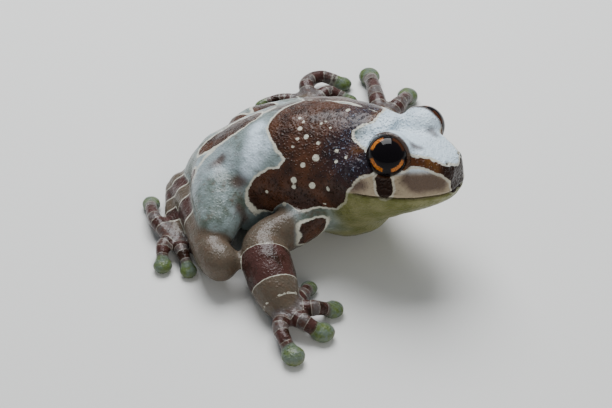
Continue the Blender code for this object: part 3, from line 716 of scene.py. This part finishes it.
def dots_distance(places, other):
    """Signed distance to the nearest pale dot, on the right or, a little out of step, on the left."""
    near = np.full(len(places), FAR)
    for *at, radius in DOTS:
        near = np.minimum(near, np.linalg.norm(places - at, axis=1) - radius)
        near = np.minimum(near, np.linalg.norm(other - at - LEFT_DOTS_SHIFT, axis=1) - radius)
    return near


def lip_field(face):
    """The mouth line and the nostrils, where the skin is darkest."""
    mouth = bell(face[:, 2] - MOUTH_HEIGHT, 0.14) * rise(face[:, 0], MOUTH_CORNER - 0.8, MOUTH_CORNER + 0.4)
    hole = np.linalg.norm(face * [1, -1, 1] - NOSTRIL, axis=1)
    return np.maximum(mouth, 1 - rise(hole, 0.1, 0.35))


def lid_field(face):
    """The dark rim of the lids."""
    from_eye = face - eye_middle(-1)
    around = np.hypot(from_eye[:, 0], from_eye[:, 2]) - LID_REACH
    lid = np.hypot(around, from_eye[:, 1] - LID_RIM_INWARD)
    return (1 - rise(lid, 0.25, 0.55)) * rise(np.linalg.norm(from_eye, axis=1), 5.0, 4.0)


def paint_fields(skin):
    """Stores where each marking, band, pad, pale underside, painted highlight and painted sheen lies, one
    number at each point.
    """
    places = points_of(skin)
    trunk = seen_from(body_matrix(), places)
    face = seen_from(head_matrix(), places)
    face[:, 1] = -np.abs(face[:, 1])
    forward, height = face[:, 0], face[:, 2]
    other = mirrored_in(body_matrix(), places)

    def both_sides(distance, strokes):
        return np.minimum(distance(places, strokes), distance(other, strokes))

    on_limb, on_digit, disc, bands = limb_fields(places)
    shoulder = both_sides(marks_distance, SHOULDER_DARK)
    on_limb = on_limb * rise(shoulder, -0.2, 0.7)
    dark = np.minimum(both_sides(marks_distance, TRUNK_DARK), saddle_distance(places))
    dark = np.minimum(marks_distance(face, HEAD_DARK), dark)
    bulge = rise(np.hypot(trunk[:, 1], trunk[:, 2] - TRUNK_AXIS), *FLANK_BULGE)
    bulge *= np.abs(places[:, 0] - FLANK_MIDDLE) < FLANK_REACH
    below_lip = rise(MOUTH_HEIGHT - height, -0.15, 0.1) * rise(forward, -9.0, -5.0)
    belly = rise(6.0 - places[:, 2] + 0.30 * places[:, 0], -0.5, 2.5) * (places[:, 0] > BELLY_BACK)
    neck = rise(forward, -11.0, -5.0) * rise(-forward, 0.0, 2.0)
    # Each range is in millimetres, along the head's own frame or away from a form.
    fields = {
        "dark": np.minimum(np.clip(dark + MARKS_OFF * (on_limb + bulge), -FAR, FAR), shoulder),
        "line": both_sides(stroke_distance, FLANK_LINE),
        # The painted highlight on the front of the flank.
        "milky_and_highlight": 1 - rise(both_sides(stroke_distance, FLANK_HIGHLIGHT), -0.8, 1.2),
        "soft": np.minimum(marks_distance(places, TRUNK_SOFT), marks_distance(face, HEAD_SOFT)),
        "dots": dots_distance(places, other),
        "cap": rise(forward, -6.5, -3.5),
        "cheek": rise(-height, 1.6, 2.6) * rise(forward, -6.5, -4.5),
        "lid": lid_field(face),
        "snout": np.maximum(rise(forward, 5.4, 6.4), rise(-height, 1.9, 2.9)),
        # Where the shoulders behind the head take a painted bluish sheen and painted glints, and taller
        # granules.
        "front": neck * rise(height, -5.0, -1.5),
        "under": np.clip(np.maximum(below_lip, belly), 0, 1) * (1 - on_limb),
        "limb": on_limb,
        "lip": lip_field(face),
        "digit": on_digit,
        "bands": bands,
        "pad": 1 - rise(disc, -0.1, 0.25),
        "temple": 1 - rise(stroke_distance(face, TEMPLE), -0.6, 1.6),
    }
    for name, values in fields.items():
        field = skin.data.attributes.new(name, "FLOAT", "POINT")
        field.data.foreach_set("value", np.asarray(values, np.float32))


def colour(values):
    """A colour property as a colour with alpha."""
    return (*values, 1.0)


class Wire:
    """One output of a node tree, so that shader maths reads as plain expressions."""

    def __init__(self, tree, socket):
        self.tree = tree
        self.socket = socket

    def add(self, kind, settings=None, inputs=None, output=0):
        """Adds a node with its settings and inputs, and gives one of its outputs."""
        node = self.tree.nodes.new(kind)
        for key, value in (settings or {}).items():
            setattr(node, key, value)
        for key, value in (inputs or {}).items():
            if isinstance(value, Wire):
                self.tree.links.new(value.socket, node.inputs[key])
            elif value is not None:
                node.inputs[key].default_value = value
        return Wire(self.tree, node.outputs[output])

    def maths(self, operation, *others):
        """One Math node on this output and others."""
        inputs = {0: self}
        inputs.update({i + 1: other for i, other in enumerate(others)})
        return self.add("ShaderNodeMath", {"operation": operation}, inputs)

    def __add__(self, other):
        return self.maths("ADD", other)

    def __sub__(self, other):
        return self.maths("SUBTRACT", other)

    def __mul__(self, other):
        return self.maths("MULTIPLY", other)

    def __rsub__(self, other):
        return self.maths("MULTIPLY_ADD", -1.0, other)

    __radd__ = __add__
    __rmul__ = __mul__

    def most(self, other):
        return self.maths("MAXIMUM", other)

    def rise(self, low, high):
        """A smooth step from 0 at low to 1 at high; low may be the greater."""
        return self.add("ShaderNodeMapRange", {"interpolation_type": "SMOOTHSTEP"},
                        {0: self, 1: min(low, high), 2: max(low, high), 3: float(low > high),
                         4: float(low <= high)})

    def noise(self, scale, detail=2.0, roughness=0.5):
        """Cloudy numbers from 0 to 1 at these places."""
        return self.add("ShaderNodeTexNoise", None,
                        {"Vector": self, "Scale": scale, "Detail": detail, "Roughness": roughness})

    def cells(self, scale):
        """Distance to the middle of the nearest of many small cells."""
        return self.add("ShaderNodeTexVoronoi", {"feature": "SMOOTH_F1"}, {"Vector": self, "Scale": scale})

    def blend(self, first, second):
        """A colour that goes from the first to the second as this number goes from 0 to 1."""
        first, second = (end if isinstance(end, Wire) else colour(end) for end in (first, second))
        return self.add("ShaderNodeMix", {"data_type": "RGBA"}, {0: self, 6: first, 7: second}, 2)


def new_material(name):
    """An empty material with its Principled shader, and a wire to its places in millimetres."""
    material = bpy.data.materials.new(name)
    material.use_nodes = True
    tree = material.node_tree
    shader = tree.nodes["Principled BSDF"]
    start = Wire(tree, None)
    where = start.add("ShaderNodeTexCoord", output=3)
    places = start.add("ShaderNodeVectorMath", {"operation": "SCALE"}, {0: where, 3: 1 / MM})
    return material, shader, start, places


def set_shader(shader, **values):
    """Sets the shader's constant sockets by name, with underscores for spaces."""
    for key, value in values.items():
        shader.inputs[key.replace("_", " ")].default_value = value


def skin_material(look):
    """Moist, finely granular skin with brown saddle and bands, pale rims and dots, and green discs."""
    material, shader, start, places = new_material("skin")

    def field(name):
        return start.add("ShaderNodeAttribute", {"attribute_name": name}, output=2)

    # Patterns of several sizes, and the marks' edges, which wander by some tenths of a millimetre.
    cloud = places.noise(0.16, 3.0)
    mottle = places.noise(0.42, 3.0, 0.6)
    patchy = places.noise(1.1, 3.0, 0.6)
    fine = places.noise(4.5, 2.0)
    grains = places.cells(3.0)
    wobble = (mottle - 0.5) * 0.8 + (patchy - 0.5) * 0.45 + (fine - 0.5) * 0.1
    edge = field("dark") + wobble
    dark = edge.rise(0.06, -0.06)
    rim = edge.rise(0.42, 0.2) * (1 - dark)
    cap, under = field("cap"), field("under")

    # The pale skin: flank with painted highlight, head, smudges, underside with painted shade, and cream
    # rims.
    flank = mottle.rise(0.38, 0.66).blend(look.pale, look.grey_green)
    flank = (patchy.rise(0.5, 0.72) * 0.6).blend(flank, look.dusty)
    flank = (cloud.rise(0.5, 0.62) * 0.25).blend(flank, look.milky_and_highlight)
    crown = (patchy.rise(0.5, 0.75) * 0.3).blend(look.cap, look.lilac)
    crown = field("cheek").blend(crown, look.cheek)
    pale = cap.blend(flank, crown)
    pale = ((field("soft") + wobble).rise(0.5, -0.6) * 0.85).blend(pale, look.smudge)
    # The underside: pale cream painted darker and olive green, as painted shade and a painted green
    # reflection.
    pale = under.blend(pale, mottle.rise(0.35, 0.65).blend(look.belly, look.underside_in_shade))
    # Painted highlight: the pale blue patch on the front of the flank.
    pale = (field("milky_and_highlight") * mottle.rise(0.2, 0.6)).blend(pale, look.milky_and_highlight)
    line = (field("line") + (patchy - 0.5) * 0.6).rise(0.3, 0.0)
    edging = rim.most(line * 0.85) * (1 - under * 0.5) * (1 - field("cheek") * 0.4)
    pale = edging.blend(pale, look.cream)

    # The dark marks, near black on the shoulders under painted bluish sheen and glints, and the dots.
    brown = mottle.rise(0.35, 0.65).blend(look.brown, look.umber)
    brown = field("temple").blend(brown, look.umber)
    brown = (grains.rise(0.15, 0.5) * 0.3).blend(brown, look.lilac_brown)
    # Behind the head the saddle turns near black with a painted blue reflection of the sky, and painted
    # glints dot the granules.
    brown = (field("front") * 0.8).blend(brown, look.sky_tinted_black)
    painted_glints = field("front") * grains.rise(0.34, 0.10) * patchy.rise(0.40, 0.55)
    brown = (painted_glints * 0.8).blend(brown, look.painted_glint_colour)
    bridge = mottle.rise(0.35, 0.6).blend(look.stripe, look.brown)
    bridge = field("snout").blend(bridge, look.umber)
    warm = (cap * (1 - field("temple"))).blend(brown, bridge)
    trunk = dark.blend(pale, warm)
    trunk = (field("lid") * 0.95).blend(trunk, look.lid)
    trunk = (field("lip").rise(0.2, 0.9) * 0.7).blend(trunk, look.umber)
    dots = (field("dots") + (fine - 0.5) * 0.12).rise(0.06, -0.06)
    trunk = dots.blend(trunk, look.cream)

    # Limbs, bands and discs.
    strength = field("bands") + (patchy - 0.5) * 0.35
    legs = patchy.rise(0.35, 0.7).blend(look.limb, look.dusty)
    digits = patchy.rise(0.4, 0.65).blend(look.hand, look.plum)
    legs = (field("digit") * 0.75).blend(legs, digits)
    ring = (strength - 0.32).maths("ABSOLUTE").rise(0.2, 0.06) * (1 - field("digit") * 0.6)
    legs = (ring * 0.85).blend(legs, look.cream)
    band = mottle.rise(0.4, 0.7).blend(look.plum, look.umber)
    legs = strength.rise(0.36, 0.62).blend(legs, band)
    skin = field("limb").blend(trunk, legs)
    discs = patchy.rise(0.35, 0.65).blend(look.disc, look.disc_blue)
    skin = (field("pad") * 0.9).blend(skin, discs)

    # Sheen and the granules' relief.
    rough = 0.22 + patchy * 0.14 + under * 0.14
    grain_height = 0.3 + dark * 0.5 + field("front") * 0.7 + cap * 0.2
    height = grains.rise(0.5, 0.0) * grain_height + fine * 0.3 + patchy * 0.5
    bump = start.add("ShaderNodeBump", None, {"Strength": 0.85, "Distance": 0.2 * MM, "Height": height})
    tree = material.node_tree
    tree.links.new(skin.socket, shader.inputs["Base Color"])
    tree.links.new(rough.socket, shader.inputs["Roughness"])
    tree.links.new(bump.socket, shader.inputs["Normal"])
    set_shader(shader, Coat_Weight=0.12, Coat_Roughness=0.08, Specular_IOR_Level=0.28, IOR=1.38)
    return material


def eye_material(look, side):
    """A glossy black eye whose iris shows four short arcs of orange gold."""
    material, shader, start, places = new_material("eye_" + side)
    sign = -1 if side == "right" else 1
    low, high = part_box("eye_" + side)
    centre = (low + high) / 2 / MM + head_matrix().to_3x3() @ EYE_SET_BACK
    axis = body_matrix().to_3x3() @ (EYE_LOOK * Vector((1, sign, 1))).normalized()
    across = axis.cross(Vector((0, 0, 1))).normalized()
    up = across.cross(axis)

    def along(direction):
        inputs = {0: places, 1: direction}
        spot = start.add("ShaderNodeVectorMath", {"operation": "DOT_PRODUCT"}, inputs, 1)
        return spot - centre.dot(direction)

    u, v, w = along(across), along(up), along(axis)
    reach = (u * u + v * v).maths("SQRT")
    gate = (u * v).maths("ABSOLUTE") - reach * reach * look.iris_gap
    strands = places.noise(7.0, 3.0, 0.7)
    ring = (reach - look.iris_reach).maths("ABSOLUTE") + (strands - 0.5) * 0.25
    arcs = ring.rise(look.iris_width, look.iris_width * 0.5) * gate.rise(0.0, 0.5) * w.rise(0.0, 0.3)
    front = (v + u * sign).rise(0.8, 1.8)
    gold = strands.rise(0.3, 0.7).most(front * 0.85).blend(look.iris, look.iris_dark)
    base = (arcs * (1 - front * 0.8)).blend(look.pupil, gold)
    tree = material.node_tree
    tree.links.new(base.socket, shader.inputs["Base Color"])
    set_shader(shader, Roughness=0.05, Specular_IOR_Level=0.22, IOR=1.36)
    return material


def shade(name, default, description):
    """A colour property with its default in linear light."""
    return FloatVectorProperty(name=name, description=description, subtype="COLOR", size=3, min=0, max=1,
                               default=default)


def number(name, default, description, **more):
    """A number property."""
    return FloatProperty(name=name, description=description, default=default, **more)


class FrogSkinSettings(bpy.types.PropertyGroup):
    """Grain and colours of the skin."""

    grain: number("Grain", 0.30, "Size of the skin's faces, in millimetres", min=0.1)
    pale: shade("Pale flank", (0.20, 0.25, 0.25), "Blue-grey of the flanks")
    # Pale cloud on the flanks, and also the colour of the painted highlight on the flank.
    milky_and_highlight: shade("Milky flank", (0.62, 0.74, 0.84), "Lightest cloud on the flanks")
    grey_green: shade("Mottling", (0.085, 0.108, 0.088), "Grey-green mottling of the flanks")
    dusty: shade("Dusty mottling", (0.095, 0.066, 0.045), "Grey-brown mottling")
    cap: shade("Head cap", (0.58, 0.70, 0.79), "Pale blue-white of the head")
    lilac: shade("Cap speckle", (0.40, 0.44, 0.56), "Lilac grey on the head")
    smudge: shade("Smudge", (0.075, 0.045, 0.036), "Soft grey-brown smudges")
    cream: shade("Cream", (0.58, 0.57, 0.48), "Rims of the dark marks, and dots")
    brown: shade("Brown", (0.075, 0.026, 0.008), "Chocolate of the dark marks")
    umber: shade("Umber", (0.018, 0.007, 0.003), "Deep brown of the dark marks")
    plum: shade("Plum", (0.062, 0.026, 0.022), "Purple-brown of the limbs' bands")
    lilac_brown: shade("Lilac brown", (0.085, 0.045, 0.038), "Light granules in the dark marks")
    limb: shade("Limb", (0.092, 0.073, 0.053), "Pale grey-brown of the limbs")
    hand: shade("Hand", (0.10, 0.088, 0.09), "Lilac grey of hands and feet")
    cheek: shade("Cheek", (0.36, 0.29, 0.20), "Warm beige of the lips and under the eye")
    stripe: shade("Stripe", (0.13, 0.056, 0.014), "Warm brown from the eye to the nostril")
    lid: shade("Lid", (0.050, 0.022, 0.010), "Dark brown rim of the eye")
    # Near black of the saddle behind the head, tinted blue as a painted reflection of the sky.
    sky_tinted_black: shade("Wet shoulders", (0.012, 0.010, 0.020), "Blue-black of the saddle behind the head")
    # Painted glints: blue-white highlights on the granules behind the head.
    painted_glint_colour: shade("Wet granules", (0.24, 0.29, 0.42), "Blue-white tips of the granules behind the head")
    # The pale underside painted darker and olive green: painted shade and a painted green reflection.
    belly: shade("Belly", (0.19, 0.185, 0.08), "Pale underside")
    underside_in_shade: shade("Throat", (0.115, 0.12, 0.032), "Greenish tinge of throat and chest")
    disc: shade("Disc", (0.085, 0.125, 0.03), "Lime green of the climbing discs")
    disc_blue: shade("Disc sheen", (0.11, 0.15, 0.12), "Blue-grey upper side of the discs")


class FrogEyeSettings(bpy.types.PropertyGroup):
    """Colours and pattern of the eyes."""

    pupil: shade("Pupil", (0.004, 0.003, 0.004), "Black of pupil and iris")
    iris: shade("Iris", (0.62, 0.21, 0.03), "Orange gold of the iris arcs")
    iris_dark: shade("Iris edge", (0.16, 0.04, 0.008), "Darker strands of the iris arcs")
    iris_reach: number("Arc radius", 2.0, "Radius of the iris arcs, in millimetres")
    iris_width: number("Arc width", 0.24, "Half width of the arcs, in millimetres")
    iris_gap: number("Arc gap", 0.20, "How wide the dark cross between the arcs is")


class FrogStageSettings(bpy.types.PropertyGroup):
    """Camera, lights and floor."""

    azimuth: number("Azimuth", math.radians(31.2), "Camera's turn round the frog", subtype="ANGLE")
    elevation: number("Elevation", math.radians(38.6), "Camera's height angle", subtype="ANGLE")
    roll: number("Roll", math.radians(1.2), "Camera's roll", subtype="ANGLE")
    distance: number("Distance", 0.270, "From the camera to the floor under the neck", unit="LENGTH")
    width: number("View width", 0.08006, "Width of the view at the neck", unit="LENGTH")
    aside: number("Aside", -0.00591, "Camera's slide to the right", unit="LENGTH")
    upward: number("Upward", 0.00317, "Camera's slide upward", unit="LENGTH")
    floor: shade("Floor", (0.72, 0.72, 0.70), "Plain pale floor")
    key: number("Key light", 1.7, "Power of the overhead softbox, in watts")
    fill: number("Fill light", 0.35, "Power of the light beside the camera, in watts")
    ambient: number("Ambient", 0.27, "Strength of the pale surroundings")


def add_camera(look):
    """The camera at the photograph's angle, slid aside rather than shifted."""
    turn = Euler((math.pi / 2 - look.elevation, 0, look.azimuth)).to_matrix()
    turn = turn @ Matrix.Rotation(look.roll, 3, "Z")
    camera = add_object("camera", bpy.data.cameras.new("camera"))
    place = frame_matrix().to_translation() + turn @ Vector((look.aside, look.upward, look.distance))
    camera.matrix_world = Matrix.Translation(place) @ turn.to_4x4()
    camera.data.lens = camera.data.sensor_width * look.distance / look.width
    camera.data.clip_start = 0.01
    bpy.context.scene.camera = camera


def add_softbox(name, place, size, tint, power, shines=True):
    """A square area light that faces the frog, and shows in glossy skin if it shines."""
    light = bpy.data.lights.new(name, "AREA")
    light.shape = "RECTANGLE"
    light.size, light.size_y = size
    light.energy = power
    light.color = tint
    softbox = add_object(name, light)
    aim = Vector(LIGHTS_AIM) - Vector(place)
    softbox.location = place
    softbox.rotation_euler = aim.to_track_quat("-Z", "Y").to_euler()
    softbox.visible_glossy = shines


def add_floor(look):
    """A wide, plain, pale floor."""
    mesh = bmesh.new()
    bmesh.ops.create_grid(mesh, x_segments=2, y_segments=2, size=FLOOR_HALF)
    bmesh.ops.translate(mesh, verts=mesh.verts[:], vec=(0, 0, -FLOOR_DROP))
    floor = finish_mesh("floor", mesh)
    material, shader, _, _ = new_material("floor")
    set_shader(shader, Base_Color=colour(look.floor), Roughness=0.8)
    floor.data.materials.append(material)


def add_world(strength):
    """Even pale surroundings."""
    world = bpy.data.worlds.new("surroundings")
    world.use_nodes = True
    background = world.node_tree.nodes["Background"]
    background.inputs["Color"].default_value = colour(SKY_TINT)
    background.inputs["Strength"].default_value = strength
    bpy.context.scene.world = world


class FROG_OT_skin(bpy.types.Operator):
    """Builds the frog's skin over every piece of flesh"""

    bl_idname = "frog.skin"
    bl_label = "Skin"

    def execute(self, context):
        look = context.scene.frog_skin
        skin = make_skin_form(look)
        paint_fields(skin)
        skin.data.transform(frame_matrix())
        skin.data.shade_smooth()
        skin.data.materials.clear()
        skin.data.materials.append(skin_material(look))
        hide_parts(*FLESH)
        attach(skin, "root")
        return {"FINISHED"}


class FROG_OT_eyes(bpy.types.Operator):
    """Builds both eyes"""

    bl_idname = "frog.eyes"
    bl_label = "Eyes"

    def execute(self, context):
        for side, name in ((-1, "right"), (1, "left")):
            eye = ball("eyeball_" + name, eye_middle(side), EYE_RADIUS, head_matrix())
            eye.data.transform(frame_matrix())
            eye.data.shade_smooth()
            eye.data.materials.append(eye_material(context.scene.frog_eyes, name))
            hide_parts("eye_" + name)
            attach(eye, "root")
        return {"FINISHED"}


class FROG_OT_stage(bpy.types.Operator):
    """Adds the floor, soft studio lights and the camera"""

    bl_idname = "frog.stage"
    bl_label = "Stage"

    def execute(self, context):
        look = context.scene.frog_stage
        add_camera(look)
        add_floor(look)
        add_world(look.ambient)
        add_softbox("key", *KEY_LIGHT, look.key)
        add_softbox("fill", *FILL_LIGHT, look.fill, shines=False)
        return {"FINISHED"}


class FROG_PT_panel(bpy.types.Panel):
    """Lists what the add-on builds"""

    bl_idname = "FROG_PT_panel"
    bl_label = "Milk frog"
    bl_space_type = "VIEW_3D"
    bl_region_type = "UI"
    bl_category = "Frog"

    def draw(self, context):
        for operator, settings in (("frog.skin", "frog_skin"), ("frog.eyes", "frog_eyes"),
                                   ("frog.stage", "frog_stage")):
            box = self.layout.box()
            box.operator(operator)
            group = getattr(context.scene, settings)
            for name in group.__annotations__:
                box.prop(group, name)


SETTINGS = {"frog_skin": FrogSkinSettings, "frog_eyes": FrogEyeSettings, "frog_stage": FrogStageSettings}
CLASSES = (*SETTINGS.values(), FROG_OT_skin, FROG_OT_eyes, FROG_OT_stage, FROG_PT_panel)


def register():
    for item in CLASSES:
        bpy.utils.register_class(item)
    for name, group in SETTINGS.items():
        setattr(bpy.types.Scene, name, PointerProperty(type=group))


def unregister():
    for name in SETTINGS:
        delattr(bpy.types.Scene, name)
    for item in reversed(CLASSES):
        bpy.utils.unregister_class(item)


def main():
    register()
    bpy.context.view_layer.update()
    bpy.ops.frog.skin()
    bpy.ops.frog.eyes()
    bpy.ops.frog.stage()


if __name__ == "__main__":
    main()
